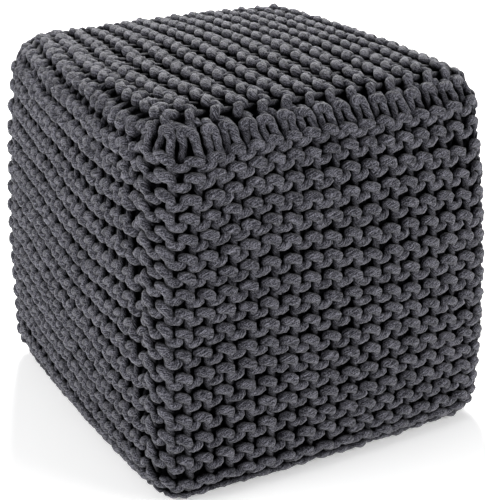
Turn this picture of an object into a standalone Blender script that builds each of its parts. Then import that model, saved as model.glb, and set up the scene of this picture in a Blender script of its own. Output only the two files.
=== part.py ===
"""Knitted cube pouf in thick charcoal cotton cord, one filled body.

Metres, +Z up. The origin is the middle of the flat base, the front panel faces -Y.
The cover is a ribbed strip that runs up the left side, over the top and down the right side,
with a ribbed front and back panel sewn into it. The panels meet in drawn-in seam channels.
"""
import math

import bmesh
import bpy

# Plan of the pouf over the crests of its ribs, where the base's rounding ends, half way up,
# and where the rounding of the top edges starts:
# height, half width, half depth, radius of the corners, bow of each side between its corners
LEVELS = (
    (0.036, 0.203, 0.218, 0.044, 0.005),
    (0.190, 0.202, 0.219, 0.052, 0.011),
    (0.345, 0.195, 0.212, 0.055, 0.009),
)
TOP_CROWN = 0.008  # extra height in the middle of the top

# Ribs of the garter stitch: each is one raised ridge of loops.
RIB_DEPTH = 0.0065  # crest to trough
RIB_STEPS = 4  # rows of points from one trough to the next
END_RIBS = 18  # ridges up the front panel, and up the back one
SIDE_RIBS = 15  # ridges up each side of the strip
TOP_RIBS = 15  # ridges across the top
FRONT_LEAN = 0.026  # how far the ridges of an end panel sink from the middle to the right
STRIP_LEAN = 0.018  # how far the left side's ridges sink from the middle to the front
WAVE = 0.0012  # unevenness of every ridge

# Seams.
JOIN_TILT = math.radians(57)  # slope of the top edge where the end panels stop
JOIN_COURSE = 0.027  # height of the course of long loops under that seam
SEAM_HALF = 0.004  # from the middle of a seam to the first row of points beside it
RIB_END = 0.010  # a ridge rises to its full height this far from its end

# Points across the panels.
CORNER_STEPS = 3
END_FLAT_STEPS = 6
STRIP_STEPS = 9

CORD_COLOUR = (0.060, 0.060, 0.068, 1.0)


def level(height, column):
    """Smooth value of one column of LEVELS at a height."""
    (z0, z1, z2) = (row[0] for row in LEVELS)
    (a, b, c) = (row[column] for row in LEVELS)
    first = a * (height - z1) * (height - z2) / ((z0 - z1) * (z0 - z2))
    second = b * (height - z0) * (height - z2) / ((z1 - z0) * (z1 - z2))
    third = c * (height - z0) * (height - z1) / ((z2 - z0) * (z2 - z1))
    return first + second + third


def smooth(value):
    """0 below 0, 1 above 1, and an even S between."""
    value = min(max(value, 0.0), 1.0)
    return value * value * (3 - 2 * value)


def cover_point(across, along, height, normal, sink):
    """A point of the cover: across and along place it on the core's plan, from -1 to 1.

    The core is the body less its rounding, and its four sides and its top are bowed out.
    """
    radius = level(height, 3)
    bow = level(height, 4)
    core_x = level(height, 1) - radius + bow * (1 - along ** 2)
    core_y = level(height, 2) - radius + bow * (1 - across ** 2)
    crown = TOP_CROWN * (1 - across ** 2) * (1 - along ** 2)
    reach = radius - sink
    x = across * core_x + reach * normal[0]
    y = along * core_y + reach * normal[1]
    z = height + crown + reach * normal[2]
    return (x, y, max(z, 0.0))


CORE_BASE, BASE_RADIUS = LEVELS[0][0], LEVELS[0][3]
CORE_TOP, TOP_RADIUS = LEVELS[2][0], LEVELS[2][3]
MIDDLE, MIDDLE_REACH, MIDDLE_RADIUS = LEVELS[1][0], LEVELS[1][1], LEVELS[1][3]
BASE_TILT = -math.asin(CORE_BASE / BASE_RADIUS)
BASE_ARC = -BASE_RADIUS * BASE_TILT
WALL = CORE_TOP - CORE_BASE
TOP_ARC = TOP_RADIUS * math.pi / 2
TOP_FLAT = 2 * (level(CORE_TOP, 1) - TOP_RADIUS)
SIDE_RUN = BASE_ARC + WALL + TOP_ARC / 2
STRIP_RUN = 2 * (BASE_ARC + WALL + TOP_ARC) + TOP_FLAT
END_RUN = BASE_ARC + WALL + TOP_RADIUS * JOIN_TILT


def up_the_side(distance):
    """Height of the core and tilt of the cover at a distance up from the rim of the base."""
    if distance < BASE_ARC:
        return CORE_BASE, BASE_TILT + distance / BASE_RADIUS
    if distance < BASE_ARC + WALL:
        return CORE_BASE + distance - BASE_ARC, 0.0
    return CORE_TOP, (distance - BASE_ARC - WALL) / TOP_RADIUS


def rib_sink(phase, from_end, from_rim):
    """Depth under the crests: deep in the troughs and the seams, nothing on the rim of the base."""
    rise = 1 - abs(math.cos(math.pi * phase)) ** 4
    rise *= smooth((from_end - SEAM_HALF) / RIB_END)
    return RIB_DEPTH * (1 - rise) * smooth(from_rim / BASE_ARC)


def end_point(side, row_distance, phase, flat, azimuth):
    """A point of the front panel (side -1) or the back one (side 1).

    flat runs from -1 to 1 between the upright corners, azimuth turns round them.
    """
    place = (flat * (MIDDLE_REACH - MIDDLE_RADIUS) + azimuth * MIDDLE_RADIUS) / MIDDLE_REACH
    fraction = row_distance / END_RUN
    lean = FRONT_LEAN * place * math.sin(math.pi * (1 - fraction) ** 1.3)
    wave = WAVE * math.sin(7.0 * place + 0.8 * phase) * smooth(8 * fraction * (1 - fraction))
    distance = row_distance - lean + wave
    height, tilt = up_the_side(distance)
    normal = (
        math.sin(azimuth) * math.cos(tilt),
        -math.cos(azimuth) * math.cos(tilt),
        math.sin(tilt),
    )
    from_end = (math.pi / 2 - abs(azimuth)) * MIDDLE_RADIUS
    sink = rib_sink(phase, from_end, distance)
    x, y, z = cover_point(flat, -1.0, height, normal, sink)
    return (-side * x, -side * y, z)


def end_rows():
    """Distance up the panel and rib phase of each row of points, from the rim of the base up."""
    top_rib = END_RUN - JOIN_COURSE
    pitch = top_rib / END_RIBS
    rows = [(step * pitch / RIB_STEPS, step / RIB_STEPS) for step in range(END_RIBS * RIB_STEPS + 1)]
    run = JOIN_COURSE - SEAM_HALF
    for step in range(1, RIB_STEPS + 1):
        rows.append((top_rib + run * step / RIB_STEPS, step / RIB_STEPS))
    return rows


def end_columns():
    """Stations across an end panel: place on the flat, and turn round the upright corner."""
    last = math.pi / 2 - SEAM_HALF / MIDDLE_RADIUS
    near = last - RIB_END / MIDDLE_RADIUS
    turns = [near * step / CORNER_STEPS for step in range(1, CORNER_STEPS + 1)] + [last]
    left = [(-1.0, -turn) for turn in reversed(turns)]
    middle = [(-1 + 2 * step / END_FLAT_STEPS, 0.0) for step in range(END_FLAT_STEPS + 1)]
    right = [(1.0, turn) for turn in turns]
    return left + middle + right


def strip_rows():
    """Distance round the strip and rib phase of each row of points, from the left rim over the top."""
    ribs = 2 * SIDE_RIBS + TOP_RIBS
    rows = []
    for step in range(ribs * RIB_STEPS + 1):
        rib = step / RIB_STEPS
        if rib <= SIDE_RIBS:
            distance = SIDE_RUN * rib / SIDE_RIBS
        elif rib <= SIDE_RIBS + TOP_RIBS:
            distance = SIDE_RUN + (STRIP_RUN - 2 * SIDE_RUN) * (rib - SIDE_RIBS) / TOP_RIBS
        else:
            distance = STRIP_RUN - SIDE_RUN * (ribs - rib) / SIDE_RIBS
        rows.append((distance, rib))
    return rows


def round_the_strip(distance):
    """Place across the core, height of the core and slope of the strip, from left to right."""
    flipped = distance > STRIP_RUN / 2
    run = STRIP_RUN - distance if flipped else distance
    arc_end = BASE_ARC + WALL + TOP_ARC
    if run < arc_end:
        height, slope = up_the_side(run)
        across = -1.0
    else:
        height, slope = CORE_TOP, math.pi / 2
        across = -1 + 2 * (run - arc_end) / TOP_FLAT
    return (-across if flipped else across), height, slope, (1 if flipped else -1)


def strip_point(row_distance, phase, place):
    """A point of the strip; place runs from -1 at its front seam to 1 at its back seam."""
    fraction = row_distance / STRIP_RUN
    lean = STRIP_LEAN * math.sin(math.pi * min(fraction / 0.62, 1.0) ** 0.6)
    wave = WAVE * math.sin(6.0 * place + 0.7 * phase) * smooth(12 * fraction * (1 - fraction))
    distance = row_distance + lean * math.sin(math.pi / 2 * place) + wave
    across, height, slope, facing = round_the_strip(distance)
    radius = level(height, 3)
    core = level(height, 2) - radius + level(height, 4) * (1 - across ** 2)
    turn = 0.0
    if slope > JOIN_TILT:
        turn = math.acos(min(math.sin(JOIN_TILT) / math.sin(slope), 1.0))
    half = core + turn * radius
    from_middle = abs(place) * (half - SEAM_HALF)
    bend = max(from_middle - core, 0.0) / radius
    along = math.copysign(min(from_middle / core, 1.0), place)
    normal = (
        facing * math.cos(slope) * math.cos(bend),
        math.copysign(math.sin(bend), place),
        math.sin(slope) * math.cos(bend),
    )
    from_rim = min(distance, STRIP_RUN - distance)
    sink = rib_sink(phase, half - from_middle, from_rim)
    return cover_point(across, along, height, normal, sink)


def strip_columns():
    """Stations along the ridges, closer at both ends where the ridges run down into the seams."""
    near = 1 - RIB_END / level(MIDDLE, 2)
    inner = [-near + 2 * near * step / STRIP_STEPS for step in range(STRIP_STEPS + 1)]
    return [-1.0] + inner + [1.0]


def grid(mesh, points):
    """Rows of vertices joined by four-sided faces."""
    rows = [[mesh.verts.new(point) for point in row] for row in points]
    for lower, upper in zip(rows, rows[1:]):
        for i in range(len(lower) - 1):
            mesh.faces.new((lower[i], lower[i + 1], upper[i + 1], upper[i]))
    return rows


def lace(mesh, edge, other):
    """Join two open edges of any number of points with a seam of triangles."""
    i = j = 0
    while i < len(edge) - 1 or j < len(other) - 1:
        step_edge = step_other = math.inf
        if i < len(edge) - 1:
            step_edge = (edge[i + 1].co - other[j].co).length
        if j < len(other) - 1:
            step_other = (other[j + 1].co - edge[i].co).length
        if step_edge <= step_other:
            mesh.faces.new((edge[i], other[j], edge[i + 1]))
            i += 1
        else:
            mesh.faces.new((edge[i], other[j], other[j + 1]))
            j += 1


def panel_edge(rows, flipped):
    """The three sewn edges of an end panel, from the base at its left over the top."""
    left = [row[0] for row in rows]
    right = [row[-1] for row in rows]
    if flipped:
        left, right = right, left
    top = rows[-1][1:-1]
    if flipped:
        top = top[::-1]
    return left + top + right[::-1]


def build_pouf():
    mesh = bmesh.new()
    columns = end_columns()
    ends = {}
    for side in (-1, 1):
        points = [[end_point(side, *row, *column) for column in columns] for row in end_rows()]
        ends[side] = grid(mesh, points)
    points = [[strip_point(*row, place) for place in strip_columns()] for row in strip_rows()]
    strip = grid(mesh, points)
    lace(mesh, panel_edge(ends[-1], False), [row[0] for row in strip])
    lace(mesh, panel_edge(ends[1], True), [row[-1] for row in strip])
    rim = ends[-1][0] + strip[-1] + ends[1][0] + strip[0][::-1]
    mesh.faces.new(rim)
    bmesh.ops.recalc_face_normals(mesh, faces=mesh.faces)
    bmesh.ops.triangulate(mesh, faces=[face for face in mesh.faces if len(face.verts) > 4])
    data = bpy.data.meshes.new("knitted_pouf")
    mesh.to_mesh(data)
    mesh.free()
    data.shade_smooth()
    pouf = bpy.data.objects.new("knitted_pouf", data)
    bpy.context.scene.collection.objects.link(pouf)
    return pouf


def cord_material():
    material = bpy.data.materials.new("charcoal_cotton_cord")
    material.use_nodes = True
    shader = material.node_tree.nodes["Principled BSDF"]
    shader.inputs["Base Color"].default_value = CORD_COLOUR
    shader.inputs["Roughness"].default_value = 0.95
    shader.inputs["Metallic"].default_value = 0.0
    return material


for leftover in list(bpy.data.objects):
    bpy.data.objects.remove(leftover, do_unlink=True)

build_pouf().data.materials.append(cord_material())
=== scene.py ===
import math

import bmesh
import bpy
import numpy as np
from mathutils import Matrix, Vector


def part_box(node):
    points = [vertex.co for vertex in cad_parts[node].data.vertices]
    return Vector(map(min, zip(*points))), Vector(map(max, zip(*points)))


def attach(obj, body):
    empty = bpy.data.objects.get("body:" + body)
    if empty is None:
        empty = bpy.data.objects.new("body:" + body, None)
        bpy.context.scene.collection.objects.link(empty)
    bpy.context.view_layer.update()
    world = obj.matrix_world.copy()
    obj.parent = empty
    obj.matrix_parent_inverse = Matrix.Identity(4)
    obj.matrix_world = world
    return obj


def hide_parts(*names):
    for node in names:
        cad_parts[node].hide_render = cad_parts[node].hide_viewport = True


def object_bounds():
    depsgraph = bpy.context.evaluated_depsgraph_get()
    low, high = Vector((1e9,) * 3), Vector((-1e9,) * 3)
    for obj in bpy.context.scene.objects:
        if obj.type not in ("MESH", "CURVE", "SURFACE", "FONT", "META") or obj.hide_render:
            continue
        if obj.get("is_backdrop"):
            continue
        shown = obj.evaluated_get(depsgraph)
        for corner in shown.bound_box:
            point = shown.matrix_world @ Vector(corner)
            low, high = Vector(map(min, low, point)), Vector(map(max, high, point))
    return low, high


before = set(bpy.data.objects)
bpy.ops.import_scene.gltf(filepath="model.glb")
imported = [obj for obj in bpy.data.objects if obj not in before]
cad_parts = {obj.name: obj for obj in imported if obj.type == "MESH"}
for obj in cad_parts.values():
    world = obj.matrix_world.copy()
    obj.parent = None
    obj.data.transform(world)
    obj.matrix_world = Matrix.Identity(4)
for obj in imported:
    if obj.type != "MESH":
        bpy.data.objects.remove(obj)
cad_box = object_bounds()


# ---- Camera -------------------------------------------------------------------------------
# A long lens three and a half heights away, looking down on the seat. The upright corner between
# the front panel and the left side is turned towards it.

CAMERA_TURN = math.radians(-28.94)
CAMERA_LIFT = math.radians(22.50)
CAMERA_ROLL = math.radians(-0.40)
CAMERA_DISTANCE = 1.471
CAMERA_LENS_MM = 94.2
AIM = Vector((0.0028, -0.0161, 0.1692))  # what the middle of the picture looks at


def place_camera():
    camera = bpy.data.objects.new("camera", bpy.data.cameras.new("camera"))
    camera.data.lens = CAMERA_LENS_MM
    camera.data.clip_end = 50.0
    back = Vector((
        math.sin(CAMERA_TURN) * math.cos(CAMERA_LIFT),
        -math.cos(CAMERA_TURN) * math.cos(CAMERA_LIFT),
        math.sin(CAMERA_LIFT),
    ))
    level_right = Vector((math.cos(CAMERA_TURN), math.sin(CAMERA_TURN), 0.0))
    level_up = back.cross(level_right)
    right = level_right * math.cos(CAMERA_ROLL) + level_up * math.sin(CAMERA_ROLL)
    axes = Matrix((right, back.cross(right), back)).transposed().to_4x4()
    camera.matrix_world = Matrix.Translation(AIM + CAMERA_DISTANCE * back) @ axes
    bpy.context.scene.collection.objects.link(camera)
    bpy.context.scene.camera = camera


place_camera()


# ---- Floor and light ----------------------------------------------------------------------
# A plain white, faintly glowing floor that runs on to a white background. A large soft lamp to the
# left, one in front on the right, a smaller one behind and a pale surround light the pouf.

FLOOR_HALF = 9.0
FLOOR_TONE = (0.90, 0.90, 0.90, 1.0)
FLOOR_GLOW = 0.30
WHITE = (1.0, 1.0, 1.0, 1.0)
LAMP_AIM = Vector((0.0, 0.0, 0.2))
LAMPS = (  # name, place, width and watts
    ("soft_lamp_left", (-2.4, -0.2, 1.5), 1.4, 58.0),
    ("soft_lamp_right", (1.6, -2.4, 1.2), 1.2, 50.0),
    ("soft_lamp_behind", (0.9, 1.9, 1.5), 0.8, 118.0),
)
SURROUND_LOW = 0.40  # strength of the surround at the horizon
SURROUND_HIGH = 0.38  # and overhead
OVERHEAD = 0.8  # sine of the angle above the horizon where it gets there


def set_inputs(tree, node, values):
    """Fill a node's inputs from (input, value or socket to link from) pairs."""
    for key, value in values:
        if isinstance(value, bpy.types.NodeSocket):
            tree.links.new(value, node.inputs[key])
        else:
            node.inputs[key].default_value = value


def add_node(tree, kind, values=(), **settings):
    """Add a node to a tree, with its settings and then its inputs."""
    node = tree.nodes.new(kind)
    for setting, value in settings.items():
        setattr(node, setting, value)
    set_inputs(tree, node, values)
    return node


def new_material(name):
    """A new material, its tree and the shader in it."""
    material = bpy.data.materials.new(name)
    material.use_nodes = True
    return material, material.node_tree, material.node_tree.nodes["Principled BSDF"]


def lay_floor():
    mesh = bpy.data.meshes.new("studio_floor")
    corners = [(x * FLOOR_HALF, y * FLOOR_HALF, 0.0) for x, y in ((-1, -1), (1, -1), (1, 1), (-1, 1))]
    mesh.from_pydata(corners, [], [(0, 1, 2, 3)])
    material, tree, shader = new_material("white_floor")
    set_inputs(tree, shader, [
        ("Base Color", FLOOR_TONE), ("Roughness", 0.7),
        ("Emission Color", WHITE), ("Emission Strength", FLOOR_GLOW),
    ])
    mesh.materials.append(material)
    floor = bpy.data.objects.new("studio_floor", mesh)
    bpy.context.scene.collection.objects.link(floor)
    floor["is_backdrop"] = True


def hang_lamp(name, place, width, watts):
    """Hang a square lamp that shines on the middle of the pouf."""
    lamp = bpy.data.lights.new(name, "AREA")
    lamp.size = width
    lamp.energy = watts
    holder = bpy.data.objects.new(name, lamp)
    holder.location = place
    towards = LAMP_AIM - Vector(place)
    holder.rotation_euler = towards.to_track_quat("-Z", "Y").to_euler()
    bpy.context.scene.collection.objects.link(holder)


def surround_with_white():
    """White all round. The ray's own direction is reversed, so its height is negative overhead."""
    world = bpy.data.worlds.new("white_surround")
    world.use_nodes = True
    tree = world.node_tree
    sight = add_node(tree, "ShaderNodeNewGeometry")
    split = add_node(tree, "ShaderNodeSeparateXYZ", [("Vector", sight.outputs["Incoming"])])
    climb = add_node(tree, "ShaderNodeMapRange", [
        ("Value", split.outputs["Z"]), ("From Min", 0.0), ("From Max", -OVERHEAD),
        ("To Min", SURROUND_LOW), ("To Max", SURROUND_HIGH),
    ])
    background = tree.nodes["Background"]
    set_inputs(tree, background, [("Color", WHITE), ("Strength", climb.outputs["Result"])])
    bpy.context.scene.world = world


lay_floor()
for lamp_values in LAMPS:
    hang_lamp(*lamp_values)
surround_with_white()
bpy.context.scene.view_settings.view_transform = "Standard"


# ---- Filled body --------------------------------------------------------------------------
# What the knitting is drawn over: one tight filled cube with rounded edges and bowed sides, in
# cloth painted near black as the shade at the bottoms of the gaps between the stitches, which alone show
# it.

low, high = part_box("knitted_pouf")
HALF_WIDTH = (high.x - low.x) / 2
HALF_DEPTH = (high.y - low.y) / 2
TOP_CROWN = 0.008  # extra height in the middle of the top
BASE_RADIUS = 0.040  # of the base's rounding and of the corners above it
MIDDLE_RADIUS = 0.040  # of the corners half way up
TOP_RADIUS = 0.055  # of the rounding of the top's edges and of the corners below it
CORE_BASE = 0.036
CORE_TOP = high.z - TOP_CROWN - TOP_RADIUS
MIDDLE_REACH = HALF_WIDTH - 0.011

# Plan of the pouf over the crests of its ridges, where the base's rounding ends, about half way
# up, and where the rounding of the top edges starts:
# height, half width, half depth, radius of the corners, bow of each side between its corners
HEIGHT, WIDTH, DEPTH, CORNER, BOW = range(5)
LEVELS = (
    (CORE_BASE, HALF_WIDTH - 0.010, HALF_DEPTH - 0.012, BASE_RADIUS, 0.005),
    (0.190, MIDDLE_REACH, HALF_DEPTH - 0.011, MIDDLE_RADIUS, 0.011),
    (CORE_TOP, HALF_WIDTH - 0.018, HALF_DEPTH - 0.018, TOP_RADIUS, 0.009),
)
BASE_TILT = -math.asin(CORE_BASE / BASE_RADIUS)
BASE_ARC = -BASE_RADIUS * BASE_TILT
WALL = CORE_TOP - CORE_BASE
TOP_ARC = TOP_RADIUS * math.pi / 2

BODY_SINK = 0.0195  # the body's skin under the crests
BODY_VOXEL = 0.012
BODY_SWELL = 0.004  # the most that the filling pushes the skin out
BODY_LEVEL = 0.018  # below this height the filling pushes the skin only sideways
BODY_RINGS = 40  # rings of points from the rim of the base to the rim of the top
TOP_RINGS = 9  # and inside that rim
CORNER_STEPS = 14  # points on each side and each corner of a ring
FILL_PRESSURE = 4.0
FILL_FRAMES = 20


def level(height, column):
    """One column of LEVELS at a height, on the parabola through its three values."""
    (z0, z1, z2) = (row[HEIGHT] for row in LEVELS)
    (a, b, c) = (row[column] for row in LEVELS)
    first = a * (height - z1) * (height - z2) / ((z0 - z1) * (z0 - z2))
    second = b * (height - z0) * (height - z2) / ((z1 - z0) * (z1 - z2))
    third = c * (height - z0) * (height - z1) / ((z2 - z0) * (z2 - z1))
    return first + second + third


def cover_point(across, along, height, normal, sink):
    """A point under the crests of the cover: across and along place it on the core's plan.

    The core is the body less its rounding, and its four sides and its top are bowed out.
    """
    radius = level(height, CORNER)
    bow = level(height, BOW)
    core_x = level(height, WIDTH) - radius + bow * (1 - along ** 2)
    core_y = level(height, DEPTH) - radius + bow * (1 - across ** 2)
    crown = TOP_CROWN * (1 - across ** 2) * (1 - along ** 2)
    reach = radius - sink
    return Vector((
        across * core_x + reach * normal[0],
        along * core_y + reach * normal[1],
        height + crown + reach * normal[2],
    ))


def up_the_side(distance):
    """Height of the core and tilt of the cover at a distance up from the rim of the base."""
    if distance < BASE_ARC:
        return CORE_BASE, BASE_TILT + distance / BASE_RADIUS
    if distance < BASE_ARC + WALL:
        return CORE_BASE + distance - BASE_ARC, 0.0
    return CORE_TOP, (distance - BASE_ARC - WALL) / TOP_RADIUS


def body_ring(distance, share):
    """Ring of points round the body: four sides and four corners, shrunk to a share of the plan."""
    height, tilt = up_the_side(distance)
    ring = []
    for side in range(4):
        facing = side * math.pi / 2
        for step in range(2 * CORNER_STEPS):
            slide = min(-1 + 2 * step / CORNER_STEPS, 1.0)
            turn = facing + math.pi / 2 * max(step - CORNER_STEPS, 0) / CORNER_STEPS
            across = share * (math.cos(facing) - slide * math.sin(facing))
            along = share * (math.sin(facing) + slide * math.cos(facing))
            normal = (
                math.cos(turn) * math.cos(tilt),
                math.sin(turn) * math.cos(tilt),
                math.sin(tilt),
            )
            ring.append(cover_point(across, along, height, normal, BODY_SINK))
    return ring


def body_shell():
    """Mesh of the body's skin, from the rim of the base over the sides to the middle of the top."""
    mesh = bmesh.new()
    climb = BASE_ARC + WALL + TOP_ARC
    rings = [body_ring(climb * step / BODY_RINGS, 1.0) for step in range(BODY_RINGS + 1)]
    rings += [body_ring(climb, step / (TOP_RINGS + 1)) for step in range(TOP_RINGS, 0, -1)]
    rings = [[mesh.verts.new(point) for point in ring] for ring in rings]
    for lower, upper in zip(rings, rings[1:]):
        for i in range(len(lower)):
            j = (i + 1) % len(lower)
            mesh.faces.new((lower[i], lower[j], upper[j], upper[i]))
    mesh.faces.new(rings[0][::-1])
    mesh.faces.new(rings[-1])
    bmesh.ops.recalc_face_normals(mesh, faces=mesh.faces)
    data = bpy.data.meshes.new("filled_body")
    mesh.to_mesh(data)
    mesh.free()
    return data


def apply_modifiers(piece):
    """Turn a piece as its modifiers leave it into a plain mesh."""
    graph = bpy.context.evaluated_depsgraph_get()
    finished = bpy.data.meshes.new_from_object(piece.evaluated_get(graph))
    piece.modifiers.clear()
    piece.data = finished
    finished.name = piece.name


def corners_of(mesh):
    """Places of a mesh's vertices, one to a row."""
    places = np.zeros(len(mesh.vertices) * 3)
    mesh.vertices.foreach_get("co", places)
    return places.reshape(-1, 3)


def fill_tight(body):
    """Press the body out from inside, as its filling does, and stop it at BODY_SWELL."""
    before = corners_of(body.data)
    cloth = body.modifiers.new("filling", "CLOTH")
    cloth.settings.use_pressure = True
    cloth.settings.uniform_pressure_force = FILL_PRESSURE
    cloth.settings.quality = 4
    cloth.settings.effector_weights.gravity = 0.0
    cloth.collision_settings.use_collision = False
    for number in range(1, FILL_FRAMES + 1):
        bpy.context.scene.frame_set(number)
    apply_modifiers(body)
    moved = corners_of(body.data) - before
    length = np.linalg.norm(moved, axis=1, keepdims=True)
    moved *= np.minimum(1.0, BODY_SWELL / np.maximum(length, 1e-9))
    after = before + moved
    after[:, 2] = np.where(before[:, 2] < BODY_LEVEL, before[:, 2], after[:, 2])
    body.data.vertices.foreach_set("co", after.ravel())
    bpy.context.scene.frame_set(1)


def cotton_fibres():
    """Shader node group: matted cotton fibres, as a shade and a height from about 0 to 1.

    Streaks follow the Along vector and specks of fluff the Place vector.
    """
    tree = bpy.data.node_groups.new("cotton_fibres", "ShaderNodeTree")
    for label, direction, kind in (
        ("Along", "INPUT", "Vector"), ("Place", "INPUT", "Vector"),
        ("Shade", "OUTPUT", "Float"), ("Height", "OUTPUT", "Float"),
    ):
        tree.interface.new_socket(label, in_out=direction, socket_type="NodeSocket" + kind)
    given = add_node(tree, "NodeGroupInput").outputs
    streaks = add_node(tree, "ShaderNodeTexNoise", [
        ("Vector", given["Along"]), ("Scale", 1.0), ("Detail", 3.0), ("Roughness", 0.6),
    ])
    specks = add_node(tree, "ShaderNodeTexNoise", [
        ("Vector", given["Place"]), ("Scale", 800.0), ("Detail", 2.0), ("Roughness", 0.7),
    ])
    both = add_node(tree, "ShaderNodeMix", [
        ("Factor", 0.49), ("A", streaks.outputs["Fac"]), ("B", specks.outputs["Fac"]),
    ], data_type="FLOAT").outputs["Result"]
    spread = add_node(tree, "ShaderNodeMapRange", [("Value", both), ("From Min", 0.45), ("From Max", 0.70)])
    add_node(tree, "NodeGroupOutput", [("Shade", spread.outputs["Result"]), ("Height", both)])
    return tree


COTTON_FIBRES = cotton_fibres()


def fibre_look(tree, along, tones, relief):
    """Colour and normal of fibres in a material: a dark and a light tone, and the bump's strength
    and distance. The streaks follow along, or the object's own coordinates where it is None.
    """
    place = add_node(tree, "ShaderNodeTexCoord").outputs["Object"]
    fibres = add_node(tree, "ShaderNodeGroup", [
        ("Along", along or place), ("Place", place),
    ], node_tree=COTTON_FIBRES).outputs
    tone = add_node(tree, "ShaderNodeMix", [
        ("Factor", fibres["Shade"]), ("A", tones[0]), ("B", tones[1]),
    ], data_type="RGBA")
    bump = add_node(tree, "ShaderNodeBump", [
        ("Strength", relief[0]), ("Distance", relief[1]), ("Height", fibres["Height"]),
    ])
    return tone.outputs["Result"], bump.outputs["Normal"]


# Near-black tones of the body cloth, painted as the shade at the bottoms of the gaps.
CLOTH_SHADE_TONES = ((0.001, 0.001, 0.001, 1.0), (0.004, 0.004, 0.005, 1.0))
CLOTH_RELIEF = (1.0, 0.0006)


def body_cloth_in_painted_shade():
    """Cloth painted near black, as the shade deep between the stitches, where it hardly shows."""
    material, tree, shader = new_material("body_cloth_painted_black_as_shade")
    colour, normal = fibre_look(tree, None, CLOTH_SHADE_TONES, CLOTH_RELIEF)
    set_inputs(tree, shader, [
        ("Base Color", colour), ("Normal", normal), ("Roughness", 1.0), ("Specular IOR Level", 0.0),
    ])
    return material


def make_body():
    body = bpy.data.objects.new("filled_body", body_shell())
    bpy.context.scene.collection.objects.link(body)
    remesh = body.modifiers.new("even_mesh", "REMESH")
    remesh.mode = "VOXEL"
    remesh.voxel_size = BODY_VOXEL
    apply_modifiers(body)
    fill_tight(body)
    rounding = body.modifiers.new("rounding", "SUBSURF")
    rounding.levels = rounding.render_levels = 1
    apply_modifiers(body)
    body.data.shade_smooth()
    body.data.materials.clear()
    body.data.materials.append(body_cloth_in_painted_shade())
    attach(body, "root")
    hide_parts("knitted_pouf")


make_body()


# ---- Front panel --------------------------------------------------------------------------
# Garter stitch in thick charcoal cotton cord, 18 ridges up and 19 stitches across, wrapped round
# both upright corners to its seams. Two courses make a ridge: the heads of one and the dips of
# the next stand out in front, and the rest of both lies behind.

CORD_RADIUS = 0.0048
LOOP_DEPTH = 0.0050  # heads and dips stand about this far in front of and behind the panel
KNIT_SINK = 1.05 * LOOP_DEPTH + 1.05 * CORD_RADIUS  # the middle of the knitting under its crests
UNEVEN = 0.0009  # how far an ordinary cord strays
LOOSE = 0.0018  # and a loose or matted one

JOIN_TILT = math.radians(48)  # slope of the top edge where the end panels stop
JOIN_COURSE = 0.016  # height of the course of long loops under that seam
END_RUN = BASE_ARC + WALL + TOP_RADIUS * JOIN_TILT
END_RIDGES = 18
END_STITCHES = 19
FRONT_LEAN = 0.026  # how far the ridges of an end panel sink from the middle to the right
LEAN_SKEW = 1.3  # the steepest of them are a little below half way up
CORNER_SAG = 0.015  # and how far they fold down at its left corner
SAG_START, SAG_WIDTH = -0.35, 0.60  # where that fold starts left of the middle, and its width
SAG_END, SAG_END_WIDTH = -0.86, 0.26  # and where it comes back up, before the seam
SAG_LOW, SAG_RISE = 0.55, 0.45  # its share at the base, and what the top has more
SAG_FADE = 0.026  # it fades out over this height under the top seam
SAG_LEFT = 0.3  # and this far up that fade at the seam itself
EASE = 0.06  # the middle stitch is this share of a half to the left, so stitches widen to the right
WAVE = 0.0012  # unevenness of every ridge
END_SWING, END_SWING_UP = 7.0, 0.8  # its swing across half an end panel, and from ridge to ridge
END_CALM = 8  # how quickly it sets in from each end of the panel
SEAM_DRAW = 0.003  # how deep a seam pulls the knitting in
SEAM_REACH = 0.018  # and how far to each side of it

# One half of a loop, from the dip beside it to its head, which the other half mirrors: share of
# the way, stitches sideways from the loop's middle, courses up, depths out, thickness, then how
# far the right leg hangs lower and the left one higher, and the right one in front of the left
KNIT_LOOP = (
    (0.00, 0.50, -0.95, -0.40, 0.86, 0.00, 0.00),
    (0.18, 0.36, -0.88, -0.15, 0.88, 0.04, 0.10),
    (0.36, 0.25, -0.58, 0.15, 0.92, 0.08, 0.30),
    (0.54, 0.22, -0.05, 0.20, 0.94, 0.12, 0.30),
    (0.68, 0.25, 0.46, 0.50, 1.00, 0.14, 0.25),
    (0.79, 0.245, 0.80, 0.92, 1.06, 0.12, 0.25),
    (0.90, 0.13, 0.87, 1.06, 1.08, 0.07, 0.12),
    (1.00, 0.00, 0.87, 1.08, 1.08, 0.00, 0.00),
)
PURL_LOOP = (
    (0.00, 0.50, -1.06, 0.92, 0.96, 0.00, 0.00),
    (0.14, 0.37, -1.05, 0.92, 0.96, 0.04, 0.00),
    (0.27, 0.26, -0.95, 0.86, 0.94, 0.08, -0.15),
    (0.37, 0.21, -0.76, 0.50, 0.90, 0.07, -0.20),
    (0.46, 0.19, -0.52, -0.15, 0.86, 0.03, -0.10),
    (0.56, 0.18, -0.28, -0.85, 0.84, 0.00, 0.00),
    (0.72, 0.21, 0.35, -1.30, 0.84, 0.00, 0.00),
    (0.86, 0.17, 0.74, -1.35, 0.84, 0.00, 0.00),
    (1.00, 0.00, 0.82, -1.35, 0.84, 0.00, 0.00),
)


def smooth(value):
    """0 below 0, 1 above 1, and an even S between."""
    value = min(max(value, 0.0), 1.0)
    return value * value * (3 - 2 * value)


def ridge_wave(swing, fraction, calm):
    """How far a ridge strays, which is nothing at either end of a panel."""
    return WAVE * math.sin(swing) * smooth(calm * fraction * (1 - fraction))


def seam_sink(from_seam):
    """How far the knitting is drawn in beside a seam."""
    return SEAM_DRAW * (1 - smooth(from_seam / SEAM_REACH))


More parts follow.
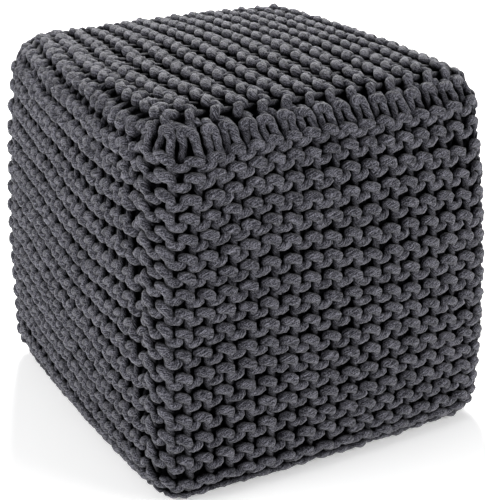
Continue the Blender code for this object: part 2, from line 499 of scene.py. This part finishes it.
def end_point(side, distance, run):
    """A point in the middle of an end panel's thickness; run goes from -1 at its left seam to 1."""
    flat_half = MIDDLE_REACH - MIDDLE_RADIUS
    half = flat_half + MIDDLE_RADIUS * math.pi / 2
    run -= EASE * (1 - min(run ** 2, 1.0))
    from_middle = abs(run) * half
    flat = math.copysign(min(from_middle / flat_half, 1.0), run)
    azimuth = math.copysign(max(from_middle - flat_half, 0.0) / MIDDLE_RADIUS, run)
    place = run * half / MIDDLE_REACH
    fraction = min(max(distance / END_RUN, 0.0), 1.0)
    lean = FRONT_LEAN * place * math.sin(math.pi * (1 - fraction) ** LEAN_SKEW)
    sag = CORNER_SAG * smooth((SAG_START - place) / SAG_WIDTH) * (SAG_LOW + SAG_RISE * fraction ** 2)
    sag *= 1 - smooth((SAG_END - place) / SAG_END_WIDTH)
    lean += sag * smooth((END_RUN - distance) / SAG_FADE + SAG_LEFT)
    ridge = distance / (END_RUN - JOIN_COURSE) * END_RIDGES
    wave = ridge_wave(END_SWING * place + END_SWING_UP * ridge, fraction, END_CALM)
    height, tilt = up_the_side(distance - lean + wave)
    normal = (
        math.sin(azimuth) * math.cos(tilt),
        -math.cos(azimuth) * math.cos(tilt),
        math.sin(tilt),
    )
    sink = KNIT_SINK + seam_sink(max(half - from_middle, 0.0))
    point = cover_point(flat, -1.0, height, normal, sink)
    return Vector((-side * point.x, -side * point.y, point.z))


def garter_courses(start, end, ridges):
    """Place, height and kind of each course from one end of a panel to the other, in knitting order."""
    height = (end - start) / (2 * ridges)
    return [(start + (number + 0.5) * height, height, number % 2) for number in range(2 * ridges)]


def lay_courses(name, point, courses, stitches):
    """Mesh of the cord's line through a panel, back and forth, with four stops to a stitch.

    point(distance, run) is the panel's surface. Each stop keeps one stitch along the course, one
    course up and the way out of the panel as vectors, and whether the quarter after it shows: the
    heads of a knit course do, and the dips of a purl course.
    """
    reach = 0.02  # to each side of a stop, for the direction of its course
    columns = {
        "stitch": [], "course": [], "purl": [], "shows": [],
        "one_stitch": [], "one_course": [], "outward": [],
    }
    places = []
    for number, (distance, height, purl) in enumerate(courses):
        stops = list(range(4 * stitches + 1))
        half_step = 0.5
        if number % 2:
            stops.reverse()
            half_step = -0.5
        for stop in stops:
            run = -1 + stop / (2 * stitches)
            before, after = max(run - reach, -1.0), min(run + reach, 1.0)
            one_stitch = point(distance, after) - point(distance, before)
            one_stitch *= 2 / (stitches * (after - before))
            one_course = point(distance + height / 2, run) - point(distance - height / 2, run)
            places.append(point(distance, run))
            columns["stitch"].append(stop / 4)
            near_head = abs((stop + half_step) % 4 - 2) < 1
            columns["shows"].append(near_head != bool(purl) and stop != stops[-1])
            columns["course"].append(number)
            columns["purl"].append(purl)
            columns["one_stitch"].append(one_stitch)
            columns["one_course"].append(one_course)
            columns["outward"].append(one_stitch.cross(one_course).normalized())
    mesh = bpy.data.meshes.new(name)
    mesh.from_pydata(places, [(i, i + 1) for i in range(len(places) - 1)], [])
    for column, values in columns.items():
        values = np.array(values, dtype=np.float32)
        kind, field = ("FLOAT_VECTOR", "vector") if values.ndim == 2 else ("FLOAT", "value")
        mesh.attributes.new(column, kind, "POINT").data.foreach_set(field, values.ravel())
    return mesh


CORD_NOISE = {"drift": 45.0, "lumps": 150.0, "fluff": 280.0}  # scale of each unevenness of a cord
DRIFT = 4.0  # the drift's reach, in times the unevenness
LUMP_LEAST, LUMP_MORE = 0.78, 0.44  # thinnest cord, and how much thicker its lumps are
FLUFF_DEPTH = 0.0030
IN_MM = 1000.0


class Tree:
    """A Geometry Nodes tree under construction, with short ways to add its nodes."""

    def __init__(self, name, inputs):
        self.tree = bpy.data.node_groups.new(name, "GeometryNodeTree")
        socket = self.tree.interface.new_socket
        socket("Geometry", in_out="INPUT", socket_type="NodeSocketGeometry")
        for label, kind in inputs:
            socket(label, in_out="INPUT", socket_type="NodeSocket" + kind)
        socket("Geometry", in_out="OUTPUT", socket_type="NodeSocketGeometry")
        self.given = self.node("NodeGroupInput").outputs
        self.position = self.node("GeometryNodeInputPosition").outputs[0]

    def node(self, kind, values=(), **settings):
        return add_node(self.tree, kind, values, **settings)

    def attribute(self, name, kind="FLOAT"):
        node = self.node("GeometryNodeInputNamedAttribute", [("Name", name)], data_type=kind)
        return node.outputs["Attribute"]

    def math(self, operation, *values):
        return self.node("ShaderNodeMath", enumerate(values), operation=operation).outputs[0]

    def vector(self, operation, *values):
        return self.node("ShaderNodeVectorMath", enumerate(values), operation=operation).outputs[0]

    def scaled(self, vector, length):
        values = [("Vector", vector), ("Scale", length)]
        return self.node("ShaderNodeVectorMath", values, operation="SCALE").outputs[0]

    def curve(self, value, points, level_ends):
        """A smooth curve through (x, y) points, read at a value."""
        node = self.node("ShaderNodeFloatCurve", [("Value", value)])
        mapping = node.mapping
        mapping.use_clip = False
        line = mapping.curves[0].points
        line[0].location, line[1].location = points[0], points[-1]
        for point in points[1:-1]:
            line.new(*point)
        for point in line:
            point.handle_type = "AUTO"
        if level_ends:
            line[0].handle_type = line[len(line) - 1].handle_type = "AUTO_CLAMPED"
        mapping.update()
        return node.outputs[0]

    def noise(self, unevenness):
        """Noise over the place of each point, its own for every seed."""
        return self.node("ShaderNodeTexNoise", [
            ("Vector", self.position), ("W", self.given["Seed"]),
            ("Scale", CORD_NOISE[unevenness]), ("Detail", 1.0),
        ], noise_dimensions="4D").outputs

    def keep(self, geometry, name, value, kind="FLOAT"):
        """Store a value at every point."""
        return self.node("GeometryNodeStoreNamedAttribute", [
            ("Geometry", geometry), ("Name", name), ("Value", value),
        ], data_type=kind, domain="POINT").outputs[0]

    def capture(self, geometry, name, value, kind):
        """Geometry that remembers a value at every point, and that value."""
        node = self.node("GeometryNodeCaptureAttribute", domain="POINT")
        node.capture_items.new(kind, name)
        set_inputs(self.tree, node, [(0, geometry), (1, value)])
        return node.outputs[0], node.outputs[1]

    def courses_line(self, cuts):
        """The line of the courses that comes in, cut finer, which keeps its place in the panel."""
        line = self.node("GeometryNodeMeshToCurve", [("Mesh", self.given["Geometry"])])
        fine = self.node("GeometryNodeSubdivideCurve", [("Curve", line.outputs[0]), ("Cuts", cuts)])
        return self.keep(fine.outputs[0], "panel", self.position, "FLOAT_VECTOR")

    def bend(self, line, along, up, out, thickness):
        """Move a line by stitches along its course, courses up and loop depths out of the panel."""
        shift = self.vector(
            "ADD",
            self.scaled(self.attribute("one_stitch", "FLOAT_VECTOR"), along),
            self.scaled(self.attribute("one_course", "FLOAT_VECTOR"), up),
        )
        depth = self.math("MULTIPLY", out, self.given["Loop Depth"])
        shift = self.vector("ADD", shift, self.scaled(self.attribute("outward", "FLOAT_VECTOR"), depth))
        bent = self.node("GeometryNodeSetPosition", [("Geometry", line), ("Offset", shift)])
        return self.keep(bent.outputs[0], "thickness", thickness)

    def round_off(self, line):
        """Let the cord's line stray a little and make it a lumpy tube.

        Returns the tube, the place round it and the place along it.
        """
        off_centre = self.vector("SUBTRACT", self.noise("drift")["Color"], (0.5, 0.5, 0.5))
        shift = self.scaled(off_centre, self.math("MULTIPLY", self.given["Unevenness"], DRIFT))
        moved = self.node("GeometryNodeSetPosition", [("Geometry", line), ("Offset", shift)])
        radius = self.math("MULTIPLY", self.given["Cord Radius"], self.attribute("thickness"))
        lumps = self.math("MULTIPLY_ADD", self.noise("lumps")["Fac"], LUMP_MORE, LUMP_LEAST)
        radius = self.math("MULTIPLY", radius, lumps)
        length = self.node("GeometryNodeSplineParameter").outputs["Length"]
        line, along = self.capture(moved.outputs[0], "Along", length, "FLOAT")
        circle = self.node("GeometryNodeCurvePrimitiveCircle", [
            ("Resolution", self.given["Sides"]), ("Radius", 1.0),
        ])
        circle, around = self.capture(circle.outputs[0], "Round", self.position, "VECTOR")
        tube = self.node("GeometryNodeCurveToMesh", [
            ("Curve", line), ("Profile Curve", circle), ("Scale", radius), ("Fill Caps", True),
        ])
        fluff = self.math("SUBTRACT", self.noise("fluff")["Fac"], 0.5)
        puff = self.math("MULTIPLY", fluff, FLUFF_DEPTH)
        outwards = self.scaled(self.node("GeometryNodeInputNormal").outputs[0], puff)
        tube = self.node("GeometryNodeSetPosition", [("Geometry", tube.outputs[0]), ("Offset", outwards)])
        return tube.outputs[0], around, along

    def finish(self, line):
        """End the tree: the line as a tube in its material, with what that reads at every point.

        cord is the place round the cord and the millimetres along it, and lift the millimetres
        in front of the panel.
        """
        tube, around, along = self.round_off(line)
        turn = self.node("ShaderNodeSeparateXYZ", [("Vector", around)]).outputs
        own = self.node("ShaderNodeCombineXYZ", [
            ("X", turn["X"]), ("Y", turn["Y"]), ("Z", self.math("MULTIPLY", along, IN_MM)),
        ])
        tube = self.keep(tube, "cord", own.outputs[0], "FLOAT_VECTOR")
        lift = self.node("ShaderNodeVectorMath", [
            (0, self.vector("SUBTRACT", self.position, self.attribute("panel", "FLOAT_VECTOR"))),
            (1, self.attribute("outward", "FLOAT_VECTOR")),
        ], operation="DOT_PRODUCT").outputs["Value"]
        tube = self.keep(tube, "lift", self.math("MULTIPLY", lift, IN_MM))
        shaded = self.node("GeometryNodeSetShadeSmooth", [("Geometry", tube)])
        dressed = self.node("GeometryNodeSetMaterial", [
            ("Geometry", shaded.outputs[0]), ("Material", self.given["Material"]),
        ])
        real = self.node("GeometryNodeRealizeInstances", [("Geometry", dressed.outputs[0])])
        self.node("NodeGroupOutput", [(0, real.outputs[0])])


CORD_INPUTS = (
    ("Cord Radius", "Float"), ("Loop Depth", "Float"), ("Unevenness", "Float"),
    ("Draw", "Float"), ("Slant", "Float"), ("Cuts", "Int"), ("Hidden Cuts", "Int"), ("Sides", "Int"),
    ("Seed", "Float"), ("Material", "Material"),
)
OWN_SHIFT = (0.10, 0.20, 0.15)  # how much heads and dips differ, sideways, up and out


def stitch_tree(name, knit, purl):
    """Geometry Nodes that bend the courses' lines into loops and round them off as cord."""
    build = Tree(name, CORD_INPUTS)
    hidden = build.given["Hidden Cuts"]
    more = build.math("SUBTRACT", build.given["Cuts"], hidden)
    line = build.courses_line(build.math("MULTIPLY_ADD", build.attribute("shows"), more, hidden))
    stitch = build.attribute("stitch")
    offset = build.math("SUBTRACT", build.math("FRACT", stitch), 0.5)
    side = build.math("SIGN", offset)
    way = build.math("SUBTRACT", 1.0, build.math("MULTIPLY", 2.0, build.math("ABSOLUTE", offset)))

    def read(column):
        """A column of the course's own table, at this much of the way from dip to head."""
        level_ends = column > 1
        knitted = build.curve(way, [(row[0], row[column]) for row in knit], level_ends)
        purled = build.curve(way, [(row[0], row[column]) for row in purl], level_ends)
        return build.node("ShaderNodeMix", [
            ("Factor", build.attribute("purl")), ("A", knitted), ("B", purled),
        ], data_type="FLOAT").outputs["Result"]

    reach, rise, out, thickness, droop, cross = map(read, range(1, 7))
    # Every head and every dip is a little different, as by hand.
    uneven = []
    for number, weight in (
        (build.math("FLOOR", stitch), way),
        (build.math("ROUND", stitch), build.math("SUBTRACT", 1.0, way)),
    ):
        key = build.node("ShaderNodeCombineXYZ", [
            ("X", number), ("Y", build.attribute("course")), ("Z", build.given["Seed"]),
        ])
        draw = build.node("ShaderNodeTexWhiteNoise", [("Vector", key.outputs[0])], noise_dimensions="3D")
        centred = build.vector("SUBTRACT", draw.outputs["Color"], (0.5, 0.5, 0.5))
        uneven.append(build.scaled(centred, weight))
    own = build.node("ShaderNodeSeparateXYZ", [("Vector", build.vector("ADD", *uneven))]).outputs
    along = build.math("SUBTRACT", build.math("MULTIPLY", side, reach), offset)
    along = build.math("MULTIPLY_ADD", own["X"], OWN_SHIFT[0], along)
    along = build.math("MULTIPLY_ADD", way, build.given["Slant"], along)
    drawn = build.math("MULTIPLY", rise, build.given["Draw"])
    up = build.math("MULTIPLY_ADD", own["Y"], OWN_SHIFT[1], drawn)
    up = build.math("SUBTRACT", up, build.math("MULTIPLY", side, droop))
    out = build.math("MULTIPLY_ADD", own["Z"], OWN_SHIFT[2], out)
    out = build.math("MULTIPLY_ADD", side, cross, out)
    build.finish(build.bend(line, along, up, out, thickness))
    return build.tree


CORD_TWIST = 0.22  # radians for each millimetre of cord
FIBRE_SCALE = (3.6, 3.6, 0.17)  # streaks across the cord, and much longer along it
CORD_TONES = ((0.003, 0.003, 0.007, 1.0), (0.285, 0.281, 0.332, 1.0))
CORD_RELIEF = (0.8, 0.0020)
DEEP, OPEN = 3.0, 9.5  # lift in millimetres over which the cord's colour is painted in shade: darkest here, deep in the gaps, and none from where light gets in


def charcoal_cord():
    """Matt charcoal cotton cord: fibres wind round it, and little light reaches it in the gaps, so its
    colour and shine are painted darker there as shade.
    """
    material, tree, shader = new_material("charcoal_cotton_cord")
    own = add_node(tree, "ShaderNodeAttribute", attribute_name="cord").outputs["Vector"]
    split = add_node(tree, "ShaderNodeSeparateXYZ", [("Vector", own)])
    winding = add_node(tree, "ShaderNodeMath", [
        (0, split.outputs["Z"]), (1, CORD_TWIST),
    ], operation="MULTIPLY")
    twist = add_node(tree, "ShaderNodeVectorRotate", [
        ("Vector", own), ("Angle", winding.outputs[0]),
    ], rotation_type="Z_AXIS")
    size = add_node(tree, "ShaderNodeMapping", [("Vector", twist.outputs[0]), ("Scale", FIBRE_SCALE)])
    colour, normal = fibre_look(tree, size.outputs[0], CORD_TONES, CORD_RELIEF)
    lift = add_node(tree, "ShaderNodeAttribute", attribute_name="lift").outputs["Fac"]
    # Painted shade: the deeper the cord lies in the knitting, the darker its colour, down to 2% at DEEP.
    light = add_node(tree, "ShaderNodeMapRange", [
        ("Value", lift), ("From Min", DEEP), ("From Max", OPEN), ("To Min", 0.02), ("To Max", 1.0),
    ], interpolation_type="SMOOTHSTEP").outputs["Result"]
    cord_colour_in_painted_shade = add_node(tree, "ShaderNodeMix", [
        ("Factor", 1.0), ("A", colour), ("B", light),
    ], data_type="RGBA", blend_type="MULTIPLY")
    set_inputs(tree, shader, [
        ("Base Color", cord_colour_in_painted_shade.outputs["Result"]), ("Normal", normal), ("Roughness", 0.95),
        ("Sheen Roughness", 0.5),
    ])
    # Painted shade on its shine too: specular and sheen fade with the same share.
    for label, most in (("Specular IOR Level", 0.15), ("Sheen Weight", 0.25)):
        part = add_node(tree, "ShaderNodeMath", [(0, light), (1, most)], operation="MULTIPLY")
        set_inputs(tree, shader, [(label, part.outputs[0])])
    return material


CHARCOAL_CORD = charcoal_cord()
GARTER = stitch_tree("garter_stitch", KNIT_LOOP, PURL_LOOP)
FLOOR_CLEAR = 0.0005  # the cord is pressed flat this far above the floor


def make_cords(piece, tree, **values):
    """Give a piece its cord through a tree, as a plain mesh pressed flat where it stands."""
    modifier = piece.modifiers.new("cord", "NODES")
    modifier.node_group = tree
    sizes = {
        "Cord Radius": CORD_RADIUS, "Loop Depth": LOOP_DEPTH, "Unevenness": UNEVEN,
        "Draw": 1.0, "Slant": 0.0, "Cuts": 4, "Hidden Cuts": 1, "Sides": 10, "Seed": 3.0,
        "Material": CHARCOAL_CORD,
    }
    for key, value in values.items():
        sizes[key.replace("_", " ").title()] = value
    for item in tree.interface.items_tree:
        if item.item_type == "SOCKET" and item.in_out == "INPUT" and item.name in sizes:
            modifier[item.identifier] = sizes[item.name]
    bpy.context.scene.collection.objects.link(piece)
    apply_modifiers(piece)
    places = corners_of(piece.data)
    places[:, 2] = np.maximum(places[:, 2], FLOOR_CLEAR)
    piece.data.vertices.foreach_set("co", places.ravel())
    piece.data.update()
    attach(piece, "root")
    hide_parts("knitted_pouf")


def knit_panel(name, point, courses, stitches, **values):
    """Knit a panel over its surface, with values for its cord."""
    panel = bpy.data.objects.new(name, lay_courses(name, point, courses, stitches))
    make_cords(panel, GARTER, **values)


def front_point(distance, run):
    """A point in the front panel."""
    return end_point(-1, distance, run)


END_COURSES = garter_courses(0.0, END_RUN - JOIN_COURSE, END_RIDGES)
knit_panel("front_panel", front_point, END_COURSES, END_STITCHES, seed=3.0)


# ---- Back panel ---------------------------------------------------------------------------
# The same panel as the front, knitted in the same cord and sewn into the other end.


def back_point(distance, run):
    """A point in the back panel."""
    return end_point(1, distance, run)


knit_panel("back_panel", back_point, END_COURSES, END_STITCHES, seed=17.0, cuts=3, sides=8)


# ---- Strip: right side, top and left side --------------------------------------------------
# One long garter strip in the same cord, knitted from the base up the right side, over the top
# and down the left side, so its heads point down on the left. It is sewn to both end panels.

SIDE_RIDGES = 16
TOP_RIDGES = 16
STRIP_STITCHES = 18
STRIP_LEAN = 0.022  # how far the left side's ridges sink from the middle to the front
LEAN_END = 0.62  # the lean ends this share of the way from the left rim to the right one
LEAN_FADE = 0.05  # and starts over this height
STRIP_SWING, STRIP_SWING_UP, STRIP_CALM = 6.0, 28.0, 12  # as an end panel's, but up the whole strip
SEAM_HALF = 0.004  # from the middle of a seam to the strip's edge
SEAM_SPREAD = 0.12  # the seam's bend at a top corner is evened out over this slope to each side
TOP_FLAT = 2 * (level(CORE_TOP, WIDTH) - TOP_RADIUS)
SIDE_RUN = BASE_ARC + WALL + TOP_ARC / 2
STRIP_RUN = 2 * (BASE_ARC + WALL + TOP_ARC) + TOP_FLAT


def round_the_strip(distance):
    """Place across the core, height of the core and slope of the strip, from the left rim on."""
    flipped = distance > STRIP_RUN / 2
    run = STRIP_RUN - distance if flipped else distance
    arc_end = BASE_ARC + WALL + TOP_ARC
    if run < arc_end:
        height, slope = up_the_side(run)
        across = -1.0
    else:
        height, slope = CORE_TOP, math.pi / 2
        across = -1 + 2 * (run - arc_end) / TOP_FLAT
    return (-across if flipped else across), height, slope, (1 if flipped else -1)


def seam_turn(slope):
    """How far round the rounded top edge the strip reaches, where it slopes as much as this."""
    if slope <= JOIN_TILT:
        return 0.0
    return math.acos(min(math.sin(JOIN_TILT) / math.sin(slope), 1.0))


def strip_point(knitted, place):
    """A point in the middle of the strip's thickness, from how much is knitted so far.

    place goes from -1 at the front seam to 1 at the back seam.
    """
    row = STRIP_RUN - knitted
    fraction = min(max(row / STRIP_RUN, 0.0), 1.0)
    lean = STRIP_LEAN * math.sin(math.pi * min(fraction / LEAN_END, 1.0) ** 0.5) * smooth(row / LEAN_FADE)
    wave = ridge_wave(STRIP_SWING * place + STRIP_SWING_UP * fraction, fraction, STRIP_CALM)
    distance = row + lean * math.sin(math.pi / 2 * place) + wave
    across, height, slope, facing = round_the_strip(distance)
    radius = level(height, CORNER)
    core = level(height, DEPTH) - radius + level(height, BOW) * (1 - across ** 2)
    turns = seam_turn(slope - SEAM_SPREAD) + seam_turn(slope) + seam_turn(slope + SEAM_SPREAD)
    half = core + radius * turns / 3
    from_middle = abs(place) * (half - SEAM_HALF)
    bend = max(from_middle - core, 0.0) / radius
    along = math.copysign(min(from_middle / core, 1.0), place)
    normal = (
        facing * math.cos(slope) * math.cos(bend),
        math.copysign(math.sin(bend), place),
        math.sin(slope) * math.cos(bend),
    )
    return cover_point(across, along, height, normal, KNIT_SINK + seam_sink(half - from_middle))


# Where each part starts and ends, its ridges, the radius of its cord, how closely the two courses
# of a ridge are drawn together, its unevenness, its seed, its cuts and its sides. The four ridges
# that turn over the left top edge are matted by sitting.
EDGE_HALF = 2  # of these ridges belong to the top, and as many to the left side
EDGE_START = STRIP_RUN - SIDE_RUN - EDGE_HALF * (STRIP_RUN - 2 * SIDE_RUN) / TOP_RIDGES
EDGE_END = STRIP_RUN - SIDE_RUN + EDGE_HALF * SIDE_RUN / SIDE_RIDGES
STRIP_PARTS = (
    ("right_side", 0.0, SIDE_RUN, SIDE_RIDGES, 0.0046, 0.90, UNEVEN, 29.0, 3, 8),
    ("top", SIDE_RUN, EDGE_START, TOP_RIDGES - EDGE_HALF, 0.0044, 0.88, UNEVEN, 41.0, 5, 10),
    ("left_top_edge", EDGE_START, EDGE_END, 2 * EDGE_HALF, 0.0051, 1.00, LOOSE, 47.0, 5, 10),
    ("left_side", EDGE_END, STRIP_RUN, SIDE_RIDGES - EDGE_HALF, 0.0047, 0.90, UNEVEN, 53.0, 4, 10),
)

for name, start, end, ridges, radius, draw, unevenness, seed, cuts, sides in STRIP_PARTS:
    knit_panel(
        name, strip_point, garter_courses(start, end, ridges), STRIP_STITCHES,
        seed=seed, cuts=cuts, sides=sides, cord_radius=radius, draw=draw, unevenness=unevenness,
    )


# ---- Base panel ---------------------------------------------------------------------------
# The strip's knitting goes on under the pouf, where the weight presses the cord flat against the
# floor. It isn't seen in use.

BASE_RIDGES = 16
BASE_SINK = 0.0080  # the middle of the base's knitting above the floor
BASE_DEPTH = 0.0035  # its loops are pressed flatter than the sides'
BASE_INSET = 0.010  # it ends this far inside the rim, under the first ridges of the sides


def base_point(distance, run):
    """A point in the middle of the base panel; run goes from -1 at the front to 1 at the back."""
    rim = BASE_RADIUS * math.cos(BASE_TILT)
    core_x = level(CORE_BASE, WIDTH) - BASE_RADIUS
    across = distance - core_x - rim
    bow = level(CORE_BASE, BOW) * (1 - min(abs(across) / core_x, 1.0) ** 2)
    core_y = level(CORE_BASE, DEPTH) - BASE_RADIUS + bow
    past_core = max(abs(across) - core_x, 0.0)
    half = core_y + math.sqrt(max(rim ** 2 - past_core ** 2, 0.0)) - BASE_INSET
    return Vector((across, run * half, BASE_SINK))


BASE_RUN = 2 * (level(CORE_BASE, WIDTH) - BASE_RADIUS + BASE_RADIUS * math.cos(BASE_TILT))
BASE_COURSES = garter_courses(BASE_INSET, BASE_RUN - BASE_INSET, BASE_RIDGES)
knit_panel(
    "base", base_point, BASE_COURSES, STRIP_STITCHES, seed=67.0, cuts=1, sides=6, loop_depth=BASE_DEPTH
)


# ---- Joining courses ----------------------------------------------------------------------
# The last course of each end panel, worked as tall open loops that reach up to the top's edge.
# Each stands on two legs that come up between the heads of the course below.

JOIN_LOOP = (
    (0.00, 0.50, -0.98, -0.60, 0.90, 0.00, 0.00),
    (0.14, 0.40, -0.90, -0.05, 0.88, 0.00, 0.00),
    (0.28, 0.28, -0.64, 0.55, 0.84, 0.02, 0.12),
    (0.48, 0.23, -0.18, 0.88, 0.84, 0.04, 0.15),
    (0.68, 0.24, 0.26, 0.95, 0.96, 0.05, 0.10),
    (0.84, 0.20, 0.50, 1.12, 1.06, 0.04, 0.00),
    (1.00, 0.00, 0.56, 1.18, 1.08, 0.00, 0.00),
)
JOIN_SLANT = -0.14  # stitches that the head of such a loop leans to the left
JOIN_STITCHES = stitch_tree("joining_loops", JOIN_LOOP, JOIN_LOOP)


def knit_joining_course(name, point, seed):
    """Knit the one course of long loops along the top of an end panel."""
    middle = END_RUN - JOIN_COURSE / 2
    lines = lay_courses(name, point, [(middle, JOIN_COURSE, 0)], END_STITCHES)
    loops = bpy.data.objects.new(name, lines)
    make_cords(
        loops, JOIN_STITCHES, seed=seed, slant=JOIN_SLANT, unevenness=LOOSE,
        cuts=5, hidden_cuts=5, sides=12,
    )


knit_joining_course("front_joining_course", front_point, 71.0)
knit_joining_course("back_joining_course", back_point, 73.0)


# ---- Sewn seams ---------------------------------------------------------------------------
# The panels are laced together with the same cord, one turn to each ridge of an upright seam and
# one to each stitch of a top seam. The outer strands slant across the seam.

LACE_REACH = 0.008  # how far a strand reaches to each side of its seam
LACE_RADIUS = 0.0047
LACE_DEPTH = 0.0075
LACE_SINK = 0.35  # depths that the lacing lies further in than the knitting
LACE_SHIFT = 0.11  # turns that it is moved along its seam
LACE_UNEVEN = 0.0016
SEAM_START = 0.012  # the upright seams start this far up from the rim of the base


def lacing_tree():
    """Geometry Nodes that wind a seam's line round and round as the lacing cord."""
    build = Tree("seam_lacing", CORD_INPUTS + (("Sway", "Float"),))
    line = build.courses_line(build.given["Cuts"])
    angle = build.math("MULTIPLY_ADD", build.attribute("stitch"), 2 * math.pi, -math.pi / 2)
    across = build.math("MULTIPLY", build.math("COSINE", angle), build.given["Slant"])
    sway = build.math("MULTIPLY_ADD", build.math("COSINE", angle), build.given["Sway"], LACE_SHIFT)
    out = build.math("SUBTRACT", build.math("SINE", angle), LACE_SINK)
    build.finish(build.bend(line, sway, across, out, 1.0))
    return build.tree


LACING = lacing_tree()
PANEL_HALF = MIDDLE_REACH - MIDDLE_RADIUS + MIDDLE_RADIUS * math.pi / 2


def lace_seam(name, point, turns, slant, sway, seed):
    """Lace a seam, with so many turns, its strands' slant and the swing of the lacing along it."""
    lines = lay_courses(name, point, [(0.0, LACE_REACH, 0)], turns)
    make_cords(
        bpy.data.objects.new(name, lines), LACING,
        cord_radius=LACE_RADIUS, loop_depth=LACE_DEPTH, unevenness=LACE_UNEVEN,
        slant=slant, sway=sway, seed=seed, cuts=4, sides=12,
    )


def upright_seam(side, edge):
    """Surface along an upright seam of an end panel, from the floor up, at its edge -1 or 1."""
    def point(across, run):
        distance = SEAM_START + (END_RUN - SEAM_START) * (run + 1) / 2
        return end_point(side, distance, edge - across / PANEL_HALF)
    return point


def top_seam(side):
    """Surface along the seam between an end panel and the top."""
    def point(across, run):
        return end_point(side, END_RUN + across, run)
    return point


for side, end in ((-1, "front"), (1, "back")):
    lace_seam(
        end + "_top_seam", top_seam(side), END_STITCHES, slant=1.0, sway=0.04, seed=79.0 + side
    )
    lace_seam(
        end + "_left_seam", upright_seam(side, -1), END_RIDGES, slant=-1.0, sway=0.20, seed=83.0 + side
    )
    lace_seam(
        end + "_right_seam", upright_seam(side, 1), END_RIDGES, slant=1.0, sway=0.20, seed=89.0 + side
    )


# ---- Size of the CAD parts and of the scene ------------------------------------------------

[[list(corner) for corner in box] for box in (cad_box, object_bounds())]
